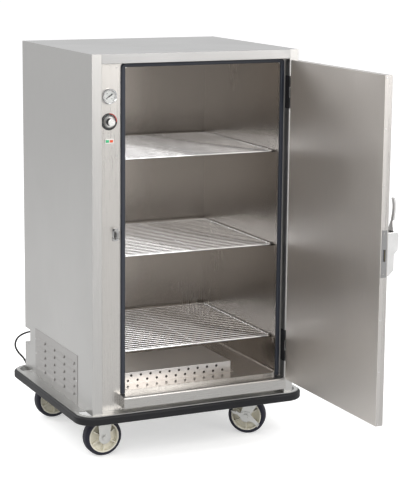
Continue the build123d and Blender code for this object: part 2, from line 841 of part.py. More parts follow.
def base_plan():
    """Width, depth and middle of the bumper's outline."""
    width = base_right - base_left
    depth = base_back + base_front
    return width, depth, Pos((base_left + base_right) / 2, (base_back - base_front) / 2, 0)


def base_deck():
    """Deck between the bumper's runs, open at its four corners, with the caster pads."""
    inset = bumper_thickness + channel_sheet
    x0, x1 = base_left + inset, base_right - inset
    y0, y1 = -base_front + inset, base_back - inset
    deck = block(x0, x1, y0 + corner_gap, y1 - corner_gap, -deck_sheet, 0)
    bend = base_corner - inset
    deck += block(x0 + corner_slot, x1 - corner_slot, y0 + 5, y1 - 5, -deck_sheet, 0)
    deck += block(x0 + bend, x1 - bend, y0, y1, -deck_sheet, 0)
    for y in (caster_front, caster_rear):
        for x in (caster_side, box_width - caster_side):
            deck += block(x - pad_size / 2, x + pad_size / 2, y - pad_size / 2, y + pad_size / 2,
                          -deck_sheet - pad_height, 0)
    for x in (x0, x1 - deck_sheet):
        deck += block(x, x + deck_sheet, y0 + corner_gap, y1 - corner_gap, -bumper_height, 0)
    for y in (y0, y1 - deck_sheet):
        deck += block(x0 + bend, x1 - bend, y, y + deck_sheet, -bumper_height, 0)
    return deck


def bumper():
    """Rubber bumper all round the base, rounded on its outer side."""
    width, depth, middle = base_plan()
    band = ring(width, depth, base_corner, bumper_thickness, bumper_height)
    ends = band.faces().sort_by(Axis.Z)
    band = fillet(ends[0].outer_wire().edges() + ends[-1].outer_wire().edges(), bumper_round)
    return middle * Pos(0, 0, -deck_sheet - bumper_height) * band


def bumper_channel():
    """Metal channel behind the bumper with the lip that lies on it."""
    width, depth, middle = base_plan()
    lip_depth = bumper_thickness + channel_sheet - lip_inset
    lip = ring(width - 2 * lip_inset, depth - 2 * lip_inset, base_corner - lip_inset, lip_depth,
               deck_sheet)
    web = ring(width - 2 * bumper_thickness, depth - 2 * bumper_thickness,
               base_corner - bumper_thickness, channel_sheet, bumper_height)
    return middle * (Pos(0, 0, -deck_sheet) * lip + Pos(0, 0, -deck_sheet - bumper_height) * web)


def caster_leg(points, radius, end):
    """Fork leg: a tapered plate with a round end about the axle, drawn in X and Z."""
    plane = Plane(origin=(0, fork_sheet / 2, 0), x_dir=(1, 0, 0), z_dir=(0, -1, 0))
    plate = prism(points, plane, fork_sheet)
    return plate + rod((end[0], fork_sheet / 2, end[1]), (0, -1, 0), radius, fork_sheet)


def hexagon_nut(centre, direction, across, height):
    plane = Plane(origin=centre, z_dir=direction)
    return extrude(plane * RegularPolygon(across / 2, 6, major_radius=False), height)


def axle_at(x, z, collar):
    """Axle bolt with a nut outside each leg, the front one clear of the leg by a collar."""
    outside = fork_gap / 2 + fork_sheet
    front = -outside - collar - nut_height
    pin = rod((x, front - 1, z), (0, 1, 0), axle_radius, outside + nut_height + 1 - front + 1)
    nuts = hexagon_nut((x, front, z), (0, 1, 0), nut_width, nut_height)
    return pin + nuts + hexagon_nut((x, outside, z), (0, 1, 0), nut_width, nut_height)


def fork_legs(x_end):
    """Both legs of a fork, joined by its own axle, and the height they hang from."""
    top = -deck_sheet - pad_height - caster_plate
    if x_end:
        top -= raceway_height + 2
    half = fork_top_width / 2
    points = [(-half, top), (half, top), (x_end + fork_end - 3, axle_z + 10),
              (x_end + fork_end - 1, axle_z), (x_end - fork_end + 1, axle_z),
              (x_end - fork_end + 3, axle_z + 10)]
    legs = []
    for y in (-fork_gap / 2 - fork_sheet / 2, fork_gap / 2 + fork_sheet / 2):
        legs.append(Pos(0, y, 0) * caster_leg(points, fork_end, (x_end, axle_z)))
    return legs, top


def rigid_fork():
    """Rigid caster's plate and fork with its axle, about the plate's middle."""
    top = -deck_sheet - pad_height
    plate = block(-caster_plate_length / 2, caster_plate_length / 2, -caster_plate_width / 2,
                  caster_plate_width / 2, top - caster_plate, top)
    plate = fillet(plate.edges().filter_by(Axis.Z), 8)
    legs, low = fork_legs(0)
    crown = block(-fork_top_width / 2, fork_top_width / 2, -fork_gap / 2 - fork_sheet,
                  fork_gap / 2 + fork_sheet, low - 4, low)
    return plate + legs[0] + legs[1] + crown + axle_at(0, axle_z, 0)


def swivel_plate():
    """Top plate of a swivel caster with its raceway and kingpin."""
    top = -deck_sheet - pad_height
    plate = block(-caster_plate_length / 2, caster_plate_length / 2, -caster_plate_width / 2,
                  caster_plate_width / 2, top - caster_plate, top)
    plate = fillet(plate.edges().filter_by(Axis.Z), 8)
    race_low = top - caster_plate - raceway_height
    race = Pos(0, 0, race_low + raceway_height / 2) * Cone(raceway_radius, raceway_radius + 6,
                                                           raceway_height)
    crown_low = race_low - 2 - 5
    pin = rod((0, 0, race_low), (0, 0, -1), kingpin_radius, race_low - crown_low + 5)
    head = rod((0, 0, crown_low - running_gap), (0, 0, -1), kingpin_radius + 5, 5)
    return plate + race + pin + head


def swivel_fork():
    """Swivelling fork with its crown and axle, about the kingpin, wheel trailing to -X."""
    legs, top = fork_legs(-caster_trail)
    race_low = -deck_sheet - pad_height - caster_plate - raceway_height
    crown = block(-fork_top_width / 2, fork_top_width / 2, -fork_gap / 2 - fork_sheet,
                  fork_gap / 2 + fork_sheet, top - 5, top)
    crown += rod((0, 0, top - 1), (0, 0, 1), raceway_radius + 2, race_low - top + 1 - running_gap)
    collar = brake_sheet + 2 * seat_gap
    fork = crown + legs[0] + legs[1] + axle_at(-caster_trail, axle_z, collar)
    return fork - rod((0, 0, top - 10), (0, 0, 1), kingpin_radius + running_gap, 20)


def turned_wheel(profile):
    """Turn a profile of radius and width about the axle at the wheel's middle."""
    face = make_face(Polyline(*profile, close=True))
    return revolve(face, Axis.Y)


def wheel_hub():
    """Ribbed plastic hub with a raised rim and a bored boss."""
    rim = wheel_radius - tyre_thickness
    half = wheel_width / 2
    bore = axle_radius + running_gap
    profile = ((bore, -hub_width / 2), (hub_boss, -hub_width / 2), (hub_boss + 1, -5),
               (rim - hub_rim, -5), (rim - hub_rim + 1, -half + 1), (rim - hub_rim + 2, -half),
               (rim, -half), (rim, half), (rim - hub_rim + 2, half), (rim - hub_rim + 1, half - 1),
               (rim - hub_rim, 5), (hub_boss + 1, 5), (hub_boss, hub_width / 2),
               (bore, hub_width / 2))
    hub = turned_wheel(profile)
    outline = ((hub_boss - 1, -half + 1), (rim - hub_rim + 1.5, -half + 5),
               (rim - hub_rim + 1.5, half - 5), (hub_boss - 1, half - 1))
    for index in range(hub_ribs):
        plane = Plane(origin=(0, 0, 0), x_dir=(1, 0, 0), z_dir=(0, 0, 1)).offset(-2)
        rib = prism(outline, plane, 4)
        hub += Rot(0, 360 / hub_ribs * index + 30, 0) * rib
    return hub


def wheel_tyre():
    """Tyre with rounded shoulders."""
    half = wheel_width / 2
    rim = wheel_radius - tyre_thickness
    crown = wheel_radius
    side = crown - shoulder_drop
    flat = half - shoulder_run
    line = Polyline((side, -half), (rim, -half), (rim, half), (side, half))
    shoulder = TangentArc((crown, flat), (side, half), tangent=(0, 1))
    tread = Line((crown, flat), (crown, -flat))
    other_shoulder = TangentArc((crown, -flat), (side, -half), tangent=(0, -1))
    return revolve(make_face(line + shoulder + tread + other_shoulder), Axis.Y)


def brake_arm():
    """Stamped brake arm on the axle, with a toe tab bent out at each end."""
    y = -fork_gap / 2 - fork_sheet - seat_gap
    plane = Plane(origin=(-caster_trail, y, axle_z), x_dir=(1, 0, 0), z_dir=(0, -1, 0))
    outline = ((-58, 24), (-52, 9), (-36, 6), (-21, -8), (-8, -17), (12, -18), (30, -24), (50, -40),
               (58, -30), (40, -12), (24, 4), (16, 17), (-6, 19), (-24, 12), (-40, 20))
    arm = prism(outline, plane, brake_sheet)
    arm += prism(((-58, 24), (-40, 20), (-40.8, 17.2), (-57.3, 20.8)), plane, brake_tab)
    arm += prism(((50, -40), (58, -30), (55.6, -28.2), (47.6, -37.6)), plane, brake_tab - 3)
    return arm - rod((-caster_trail, y + 1, axle_z), (0, -1, 0), axle_radius + running_gap,
                     brake_sheet + 2)


def at_caster(shape, y, angle):
    """Put a swivel caster's piece at its kingpin, turned to its written angle."""
    return Pos(box_width - caster_side, y, 0) * Rot(0, 0, angle) * shape


def cord_route():
    """Points of the cord from its strain relief, out in a loop, down and along the floor."""
    start = pocket_front + relief_length
    end_y = coil_y + coil_radius
    lead = coil_x - 2 * cord_radius
    loop = ((27, 49, 139), (-7, 76, 116), (-20, 85, 79), (-6, 79, 45), (18, 71, 20), (34, 67, -22),
            (50, 71, -72), (75, 82, -119), (108, 97, -158), (147, 113, -186))
    points = [(cord_exit_x, start, cord_exit_z), (cord_exit_x, start + 38, cord_exit_z)]
    points += [(x, box_depth + behind, z) for x, behind, z in loop]
    return points + [(lead - 42, end_y, floor_cord_z), (lead, end_y, floor_cord_z)]


def route_radii(points):
    """Bend radius at each inner point of a route: 0.45 of the shorter run over the tangent."""
    radii = []
    for first, middle, last in zip(points, points[1:], points[2:]):
        before = Vector(*middle) - Vector(*first)
        after = Vector(*last) - Vector(*middle)
        half_turn = radians(before.get_angle(after)) / 2
        radii.append(0.45 * min(before.length, after.length) / tan(half_turn))
    return radii


def power_cord():
    """The cord's stretch that isn't coiled."""
    points = cord_route()
    radii = route_radii(points)
    print("cord bend radii", [round(radius) for radius in radii])
    path = FilletPolyline(*points, radius=radii)
    section = Plane(origin=path @ 0, z_dir=path % 0) * Circle(cord_radius)
    tube = sweep(section, path)
    print("cord free length", round(path.length), "volume ratio",
          round(tube.volume / (pi * cord_radius ** 2 * path.length), 4))
    return tube


def coil_arcs():
    """Half turns that spiral in on the floor, climb a layer and spiral out again."""
    lead = 2 * cord_radius
    low, high = floor_cord_z, floor_cord_z + coil_pitch
    side = coil_radius
    point = Vector(coil_x, coil_y + side, low)
    edges = [Line(point - Vector(lead, 0, 0), point)]
    up = 1
    steps = [-coil_pitch / 2] * 6 + [coil_pitch] + [coil_pitch / 2] * 3
    for turn, grow in enumerate(steps):
        reach = side + grow
        climb = turn == 5
        level = low if turn < 5 else high
        end = Vector(coil_x, coil_y - up * reach, level)
        if climb:
            middle = Vector(coil_x - (side + reach) / 2, coil_y - up * (reach - side) / 2,
                            (low + high) / 2)
            first = TangentArc(point, middle, tangent=(-1, 0, 0))
            second = TangentArc(middle, end, tangent=first % 1)
            edges += [first, second]
        else:
            outward = Vector(coil_x + up * (side + reach) / 2, coil_y - up * (reach - side) / 2, level)
            edges.append(ThreePointArc(point, outward, end))
        side, point, up = reach, end, -up
    edges.append(Line(point, point + Vector(lead, 0, 0)))
    return edges


def least_gap(edges):
    """Least distance between the coil's turns, measured on points a turn or more apart."""
    points, along, total = [], [], 0.0
    for edge in edges:
        steps = max(int(edge.length / 3), 2)
        for step in range(steps):
            points.append(edge @ (step / steps))
            along.append(total + edge.length * step / steps)
        total += edge.length
    least = 1000.0
    for i, first in enumerate(points):
        for j in range(i + 1, len(points)):
            if along[j] - along[i] > 80:
                least = min(least, (points[j] - first).length)
    return least - 2 * cord_radius


def cord_coil():
    """The cord's unseen length, wound into a neat coil on the floor."""
    edges = coil_arcs()
    path = Wire([edge.edge() if hasattr(edge, "edge") else edge for edge in edges])
    print("coil length", round(path.length), "least gap", round(least_gap(edges), 2))
    section = Plane(origin=edges[0] @ 0, z_dir=edges[0] % 0) * Circle(cord_radius)
    return sweep(section, path)


def strain_relief():
    """Tapered strain relief with its flange on the pocket's front wall."""
    at = Plane(origin=(cord_exit_x, pocket_front, cord_exit_z), z_dir=(0, 1, 0))
    flange = extrude(at * RegularPolygon(11, 6), 5)
    taper = at * Pos(0, 0, 4) * Cone(9, cord_radius + 1, relief_length - 4,
                                     align=(Align.CENTER, Align.CENTER, Align.MIN))
    return flange + taper


def plug():
    """Moulded plug on the coil's end with two blades and an earth pin."""
    x = coil_x + 2 * cord_radius
    y = coil_y + coil_radius - coil_pitch / 2
    z = floor_cord_z + coil_pitch
    at = Plane(origin=(x, y, z), x_dir=(0, 1, 0), z_dir=(1, 0, 0))
    sections = [at * Circle(cord_radius + 0.2), at.offset(plug_neck) * Circle(cord_radius + 0.6),
                at.offset(plug_neck + plug_flare) * Circle(plug_radius),
                at.offset(plug_length) * Circle(plug_radius)]
    body = loft(sections, ruled=True)
    for side in (-1, 1):
        body += at.offset(plug_length - 1) * Pos(side * 6, 3, 8.5) * Box(1.5, 6.3, 17)
    body += rod(at.offset(plug_length - 1).origin + Vector(0, 0, -5), (1, 0, 0), 2.4, 19)
    return body


def build_parts():
    """Every node of the cabinet by name."""
    parts = {
        "side_panel_left": side_panel_left(),
        "side_panel_right": side_panel_right(),
        "top_panel": top_panel(),
        "back_panel": back_panel(),
        "bottom_pan": bottom_pan(),
        "front_frame": front_frame(),
        "liner_walls": liner_walls(),
        "liner_ends": liner_ends(),
        "liner_back": liner_back(),
        "insulation": insulation(),
        "door_gasket": door_gasket(),
        "door_sill": door_sill(),
        "control_plate": control_plate(),
        "screws": screws(),
        "thermometer_case": thermometer_case(),
        "thermometer_dial": thermometer_dial(),
        "thermometer_glass": thermometer_glass(),
        "dial_plate": dial_plate(),
        "thermostat": thermostat(),
        "thermostat_knob": thermostat_knob(),
        "pilot_bezel": pilot_bezel(),
        "pilot_lenses": pilot_lenses(),
        "strike": strike(),
        "hinge_frame_leaves": hinge_frame_leaves(),
        "hinge_door_leaves": hinge_door_leaves(),
        "door_outer_pan": door_outer_pan(),
        "door_inner_pan": door_inner_pan(),
        "door_core": door_core(),
        "door_rivets": door_rivets(),
        "latch_case": latch_case(),
        "latch_bolt": latch_bolt(),
        "latch_lever": latch_lever(),
        "shelf_ledges": shelf_ledges(),
        "heater_cover": heater_cover(),
        "heating_element": heating_element(),
        "vent_panel": vent_panel(),
        "base_deck": base_deck(),
        "bumper": bumper(),
        "bumper_channel": bumper_channel(),
        "strain_relief": strain_relief(),
        "cord": power_cord(),
        "cord_coil": cord_coil(),
        "plug": plug(),
    }
    lowest = shelf(shelf_heights[0])
    for name, height in zip(("low", "middle", "high"), shelf_heights):
        parts["shelf_" + name] = Pos(0, 0, height - shelf_heights[0]) * lowest
    rigid, swivel, top = rigid_fork(), swivel_fork(), swivel_plate()
    hub, tyre, arm = wheel_hub(), wheel_tyre(), brake_arm()
    corners = (("front", caster_front, front_swivel_angle), ("rear", caster_rear, rear_swivel_angle))
    forks, plates = [], []
    for name, y, angle in corners:
        forks.append(Pos(caster_side, y, 0) * rigid)
        plates.append(Pos(box_width - caster_side, y, 0) * top)
        parts["hub_" + name + "_left"] = Pos(caster_side, y, axle_z) * hub
        parts["tyre_" + name + "_left"] = Pos(caster_side, y, axle_z) * tyre
        wheel = Pos(-caster_trail, 0, axle_z)
        parts["fork_" + name + "_right"] = at_caster(swivel, y, angle)
        parts["hub_" + name + "_right"] = at_caster(wheel * hub, y, angle)
        parts["tyre_" + name + "_right"] = at_caster(wheel * tyre, y, angle)
        parts["brake_" + name + "_right"] = at_caster(arm, y, angle)
    parts["rigid_forks"] = Compound(forks)
    parts["swivel_plates"] = Compound(plates)
    return parts


def main():
    os.makedirs("parts", exist_ok=True)
    for name, shape in build_parts().items():
        export_step(place(shape), os.path.join("parts", name + ".step"))


main()
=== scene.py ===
import bpy
import bmesh
from math import cos, pi, radians, sin
from mathutils import Matrix, Vector


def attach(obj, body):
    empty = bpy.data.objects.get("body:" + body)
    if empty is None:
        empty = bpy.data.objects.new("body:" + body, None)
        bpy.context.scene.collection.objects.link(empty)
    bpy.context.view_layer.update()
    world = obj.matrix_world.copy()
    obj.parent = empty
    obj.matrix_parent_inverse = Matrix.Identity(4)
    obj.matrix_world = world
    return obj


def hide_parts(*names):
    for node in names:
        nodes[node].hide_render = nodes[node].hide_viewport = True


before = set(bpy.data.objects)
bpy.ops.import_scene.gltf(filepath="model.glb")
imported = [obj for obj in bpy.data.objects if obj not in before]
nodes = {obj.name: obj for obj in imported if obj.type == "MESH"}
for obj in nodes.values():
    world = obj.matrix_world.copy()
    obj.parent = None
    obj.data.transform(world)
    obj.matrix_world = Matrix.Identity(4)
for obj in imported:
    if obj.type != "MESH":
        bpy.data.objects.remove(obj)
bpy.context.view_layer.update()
scene = bpy.context.scene
scene.view_settings.view_transform = "Standard"

# Places are worked out in millimetres from the casing's front left bottom corner, as in the
# part's source, and at() turns them into metres in the row frame.
SHIFT = (-430, -45, 200)
SHEET = 1.2

# Control column: the y of its faces and of the knob's black side wall, and the x and z of what it
# holds
COLUMN_Y = 38.8
CARD_Y = COLUMN_Y - 4.6
DIAL_Y = COLUMN_Y - SHEET
SCREW_HEAD_Y = COLUMN_Y - 1.36
KNOB_BLACK_SIDE = (12.4, 30.2)
GAUGE = (83, 1211)
KNOB = (84, 1116)
PILOT_X = 84
SCREW_X = (50, 114)
SCREW_Z = (986, 1316)

# Door: the x of its inside face, and the x that the latch's edge plate lies left of
DOOR_INSIDE_X = 809
EDGE_PLATE_X = 839


def at(x, y, z):
    """A place in millimetres as a point in metres in the row frame."""
    return Vector(((x + SHIFT[0]) / 1000, (y + SHIFT[1]) / 1000, (z + SHIFT[2]) / 1000))


# Camera
def make_camera():
    """The photograph's camera, fitted to the cabinet's corners."""
    photo_height = 500
    focal_pixels = 1634.85
    sensor = 36
    place = at(-2201.87, -5569.21, 1841.45)
    yaw, pitch, roll = radians(25.530), radians(-10.300), radians(0.5503)
    forward = Vector((sin(yaw) * cos(pitch), cos(yaw) * cos(pitch), sin(pitch)))
    level = Vector((cos(yaw), -sin(yaw), 0))
    upright = level.cross(forward)
    right = cos(roll) * level + sin(roll) * upright
    up = cos(roll) * upright - sin(roll) * level
    data = bpy.data.cameras.new("camera")
    data.sensor_width = sensor
    data.lens = focal_pixels * sensor / photo_height
    data.shift_x = 0.0032
    data.shift_y = -0.0571
    camera = bpy.data.objects.new("camera", data)
    scene.collection.objects.link(camera)
    turn = Matrix((right, up, -forward)).transposed().to_4x4()
    camera.matrix_world = Matrix.Translation(place) @ turn
    scene.camera = camera


make_camera()


# Materials
class Nodes:
    """The node tree of a material or a world, with short calls that add and join nodes."""

    def __init__(self, owner):
        owner.use_nodes = True
        self.tree = owner.node_tree

    def add(self, kind, **settings):
        node = self.tree.nodes.new(kind)
        for key, value in settings.items():
            setattr(node, key, value)
        return node

    def link(self, output, socket):
        self.tree.links.new(output, socket)

    def spread(self, value, low, high, start=0.3, end=0.7):
        """Rescale a value, as a Map Range node does."""
        node = self.add("ShaderNodeMapRange")
        settings = zip(("From Min", "From Max", "To Min", "To Max"), (start, end, low, high))
        for socket, number in settings:
            node.inputs[socket].default_value = number
        self.link(value, node.inputs["Value"])
        return node.outputs["Result"]

    def mix(self, factor, first, second):
        """Mix two colours, each a colour or another node's output."""
        node = self.add("ShaderNodeMix", data_type="RGBA")
        for socket, color in ((node.inputs[6], first), (node.inputs[7], second)):
            if isinstance(color, tuple):
                socket.default_value = (*color, 1)
            else:
                self.link(color, socket)
        self.link(factor, node.inputs[0])
        return node.outputs[2]

    def compute(self, operation, *values):
        """Work out a number from plain numbers and other nodes' outputs."""
        node = self.add("ShaderNodeMath", operation=operation)
        for socket, value in zip(node.inputs, values):
            if isinstance(value, (int, float)):
                socket.default_value = value
            else:
                self.link(value, socket)
        return node.outputs[0]

    def between(self, value, low, high):
        """1 where a value lies between two others."""
        above = self.compute("GREATER_THAN", value, low)
        return self.compute("MULTIPLY", above, self.compute("LESS_THAN", value, high))


class Finish(Nodes):
    """A procedural material: a Principled shader with noise in its colour, gloss and relief."""

    def __init__(self, name, metallic=0.0, rough=0.5, **sockets):
        self.material = bpy.data.materials.new(name)
        super().__init__(self.material)
        self.shader = self.tree.nodes["Principled BSDF"]
        self.shader.inputs["Metallic"].default_value = metallic
        self.shader.inputs["Roughness"].default_value = rough
        for socket, value in sockets.items():
            self.shader.inputs[socket.replace("_", " ")].default_value = value
        self.coords = self.add("ShaderNodeTexCoord").outputs["Object"]

    def noise(self, stretch=(1, 1, 1), scale=10.0, detail=3.0):
        """Noise over the object's coordinates, stretched along an axis where asked."""
        mapping = self.add("ShaderNodeMapping")
        mapping.inputs["Scale"].default_value = stretch
        self.link(self.coords, mapping.inputs["Vector"])
        texture = self.add("ShaderNodeTexNoise")
        texture.inputs["Scale"].default_value = scale
        texture.inputs["Detail"].default_value = detail
        self.link(mapping.outputs["Vector"], texture.inputs["Vector"])
        return texture.outputs["Fac"]

    def axis(self, name):
        """The place along one of the object's axes, in metres."""
        node = self.add("ShaderNodeSeparateXYZ")
        self.link(self.coords, node.inputs[0])
        return node.outputs[name]

    def color(self, output):
        self.link(output, self.shader.inputs["Base Color"])

    def gloss(self, output):
        self.link(output, self.shader.inputs["Roughness"])

    def relief(self, height, distance, strength=0.5):
        """Fine relief, its distance in metres."""
        node = self.add("ShaderNodeBump")
        node.inputs["Distance"].default_value = distance
        node.inputs["Strength"].default_value = strength
        self.link(height, node.inputs["Height"])
        self.link(node.outputs["Normal"], self.shader.inputs["Normal"])


def scaled(color, factor):
    """A colour made darker or lighter."""
    return tuple(min(1.0, channel * factor) for channel in color)


def brushed(name, color, rough, grain, smudge=0.05, metallic=1.0, lines=0.05, depth=0.0,
            edge=None):
    """Sheet steel with a fine grain along one axis and faint smudges.

    Where edge is given, its colour takes over beyond its place along X.
    """
    finish = Finish(name, metallic=metallic, rough=rough)
    streaks = finish.noise(stretch=grain, scale=1.0, detail=4)
    clouds = finish.noise(scale=2.2, detail=5)
    darker, lighter = scaled(color, 1 - lines), scaled(color, 1 + lines)
    tone = finish.mix(finish.spread(streaks, 0, 1), darker, lighter)
    smear = finish.spread(clouds, 0.0, 0.5, 0.4, 0.8)
    sheet = finish.mix(smear, tone, scaled(color, 1 - 2 * lines))
    if edge:
        place, edge_color = edge
        beyond = finish.compute("GREATER_THAN", finish.axis("X"), at(place, 0, 0).x)
        sheet = finish.mix(beyond, sheet, edge_color)
    finish.color(sheet)
    rougher = finish.compute("ADD", finish.spread(streaks, rough - lines, rough + lines),
                             finish.spread(clouds, -smudge, smudge))
    finish.gloss(rougher)
    if depth:
        finish.relief(streaks, depth, 0.12)
    return finish.material


def plain(name, color, rough, metallic=0.0, speckle=0.06, size=60.0, depth=0.0003, **sockets):
    """Moulded or coated surface with fine relief and a little change of tone."""
    finish = Finish(name, metallic=metallic, rough=rough, **sockets)
    grain = finish.noise(scale=size * 12, detail=3)
    clouds = finish.noise(scale=size / 6, detail=4)
    finish.color(finish.mix(finish.spread(clouds, 0, 1), scaled(color, 1 - speckle),
                            scaled(color, 1 + speckle)))
    finish.gloss(finish.spread(clouds, rough - 0.06, rough + 0.08))
    finish.relief(grain, depth, 0.25)
    return finish.material


def split_lens(name, left, right, x):
    """Lens colour that changes at x, from one lens to the other."""
    finish = Finish(name, rough=0.12, Coat_Weight=0.6)
    side = finish.compute("GREATER_THAN", finish.axis("X"), at(x, 0, 0).x)
    glow = finish.noise(scale=300, detail=2)
    first = finish.mix(finish.spread(glow, 0, 1), scaled(left, 0.8), left)
    second = finish.mix(finish.spread(glow, 0, 1), scaled(right, 0.8), right)
    finish.color(finish.mix(side, first, second))
    finish.relief(glow, 0.0003, 0.2)
    return finish.material


def two_tone_knob(name):
    """Satin skirt and cap, with the knob's side wall between them in black."""
    finish = Finish(name, metallic=1.0)
    front, back = (at(0, y, 0).y for y in KNOB_BLACK_SIDE)
    black_side = finish.between(finish.axis("Y"), front, back)
    spin = finish.noise(stretch=(60, 1, 60), scale=30)
    satin = finish.mix(finish.spread(spin, 0, 1), (0.66, 0.66, 0.65), (0.80, 0.80, 0.79))
    finish.color(finish.mix(black_side, satin, (0.014, 0.014, 0.015)))
    finish.gloss(finish.spread(spin, 0.24, 0.34))
    return finish.material


def latch_metal(name):
    """Bright casting, with the plate in the door's edge in a darker grey."""
    finish = Finish(name, metallic=1.0)
    plate = finish.compute("LESS_THAN", finish.axis("X"), at(EDGE_PLATE_X, 0, 0).x)
    cloud = finish.noise(scale=18, detail=4)
    bright = finish.mix(finish.spread(cloud, 0, 1), (0.66, 0.66, 0.66), (0.80, 0.80, 0.80))
    finish.color(finish.mix(plate, bright, (0.30, 0.30, 0.30)))
    finish.gloss(finish.spread(cloud, 0.12, 0.22))
    return finish.material


def gauge_card(name):
    """White dial card whose raised pointer is black."""
    clearance = 0.2
    finish = Finish(name, rough=0.45)
    raised = finish.compute("LESS_THAN", finish.axis("Y"), at(0, CARD_Y - clearance, 0).y)
    paper = finish.noise(scale=500, detail=2)
    card = finish.mix(finish.spread(paper, 0, 1), (0.80, 0.81, 0.80), (0.86, 0.86, 0.84))
    finish.color(finish.mix(raised, card, (0.012, 0.012, 0.014)))
    return finish.material


def gauge_glass(name):
    """Clear window with a slight change of gloss."""
    finish = Finish(name, rough=0.03, Transmission_Weight=1.0, IOR=1.45, Alpha=0.35)
    finish.gloss(finish.spread(finish.noise(scale=40), 0.02, 0.05))
    return finish.material


# Grain: how far the noise is squeezed along x, y and z. It runs along the least squeezed axis.
VERTICAL = (900, 900, 9)
ACROSS = (9, 900, 900)
INWARD = (900, 9, 900)
FINE = 0.0002

SIDE = (0.50, 0.495, 0.485)
FRONT = (0.52, 0.505, 0.485)
LINER = (0.44, 0.41, 0.38)
DOOR = (0.50, 0.485, 0.47)
GREEN = (0.05, 0.60, 0.26)
RED = (0.85, 0.10, 0.03)

finishes = {
    "side": brushed("casing side", SIDE, 0.36, VERTICAL, depth=FINE),
    "front": brushed("casing front", FRONT, 0.30, VERTICAL, depth=FINE),
    # Painted shade: the casing's top gets a darker grey than the rest of its sheet, so it looks as
    # dark as it does under this light.
    "top": brushed("casing top painted darker", (0.38, 0.38, 0.38), 0.36, ACROSS, depth=FINE),
    "liner": brushed("liner", LINER, 0.24, VERTICAL, 0.03, lines=0.015),
    "liner_floor": brushed("liner floor", LINER, 0.20, ACROSS, 0.02, lines=0.01),
    "door_face": brushed("door face", DOOR, 0.30, VERTICAL, depth=FINE),
    # Painted light: the door's inner face gets a paler copy of the door's steel, so it looks as
    # bright as it does lit by the key lamp; beyond the inside face the pan keeps the door's own
    # colour.
    "door_inner": brushed("door inner face painted lighter", (0.76, 0.725, 0.69), 0.42, VERTICAL, 0.05, lines=0.03,
                          edge=(DOOR_INSIDE_X + SHEET / 2, DOOR)),
    "sill": brushed("sill", (0.46, 0.45, 0.435), 0.28, ACROSS),
    "vent": brushed("vent panel", (0.40, 0.39, 0.38), 0.36, INWARD, depth=FINE),
    "cover": brushed("heater cover", (0.56, 0.545, 0.53), 0.30, ACROSS, 0.02, lines=0.01),
    "deck": brushed("deck", (0.50, 0.50, 0.49), 0.38, ACROSS),
    "wool": plain("mineral wool", (0.62, 0.54, 0.30), 0.95, speckle=0.2, size=40, depth=0.002),
    "gasket": plain("gasket", (0.018, 0.022, 0.034), 0.55, size=30),
    "bumper": plain("bumper", (0.012, 0.012, 0.014), 0.48, size=20, speckle=0.15,
                    Specular_IOR_Level=0.25),
    "chrome": brushed("chrome", (0.82, 0.82, 0.83), 0.09, VERTICAL, 0.02, lines=0.02),
    "satin": brushed("satin chrome", (0.70, 0.70, 0.70), 0.24, VERTICAL, 0.03),
    "strike": brushed("strike", (0.42, 0.42, 0.42), 0.22, VERTICAL, 0.03, lines=0.02),
    "zinc": plain("zinc", (0.62, 0.62, 0.60), 0.36, metallic=0.9, speckle=0.08),
    # The hinge leaves are near black.
    "hinge": plain("hinge near black", (0.02, 0.02, 0.022), 0.35, metallic=0.3),
    # Dark steel of the latch bolt, also worn by the painted shade of the screws' cross recesses.
    "dark_steel_and_recess_shade": brushed("dark steel", (0.10, 0.10, 0.11), 0.35, VERTICAL),
    "dial_black": plain("dial black", (0.012, 0.012, 0.014), 0.34, size=80),
    "body_black": plain("control body", (0.02, 0.02, 0.02), 0.5),
    "knob": two_tone_knob("knob"),
    "latch": latch_metal("latch"),
    "bezel": plain("pilot bezel", (0.74, 0.73, 0.70), 0.35, Coat_Weight=0.3),
    "lens": split_lens("pilot lenses", GREEN, RED, PILOT_X),
    "card": gauge_card("gauge card"),
    "glass": gauge_glass("gauge glass"),
    "element": brushed("element sheath", (0.24, 0.21, 0.19), 0.42, ACROSS),
    "hub": plain("hub moulding", (0.78, 0.75, 0.64), 0.42, speckle=0.05, size=40),
    "tyre": plain("tyre", (0.013, 0.013, 0.024), 0.58, speckle=0.15, size=30, depth=0.0006,
                  Specular_IOR_Level=0.35),
    "cord": plain("cord jacket", (0.010, 0.010, 0.010), 0.55, speckle=0.1, Specular_IOR_Level=0.35),
    "ink": plain("dial ink", (0.02, 0.02, 0.022), 0.5),
    "white_ink": plain("white ink", (0.78, 0.78, 0.76), 0.5, speckle=0.03),
    "red_ink": plain("red ink", (0.62, 0.03, 0.02), 0.45, speckle=0.05),
}

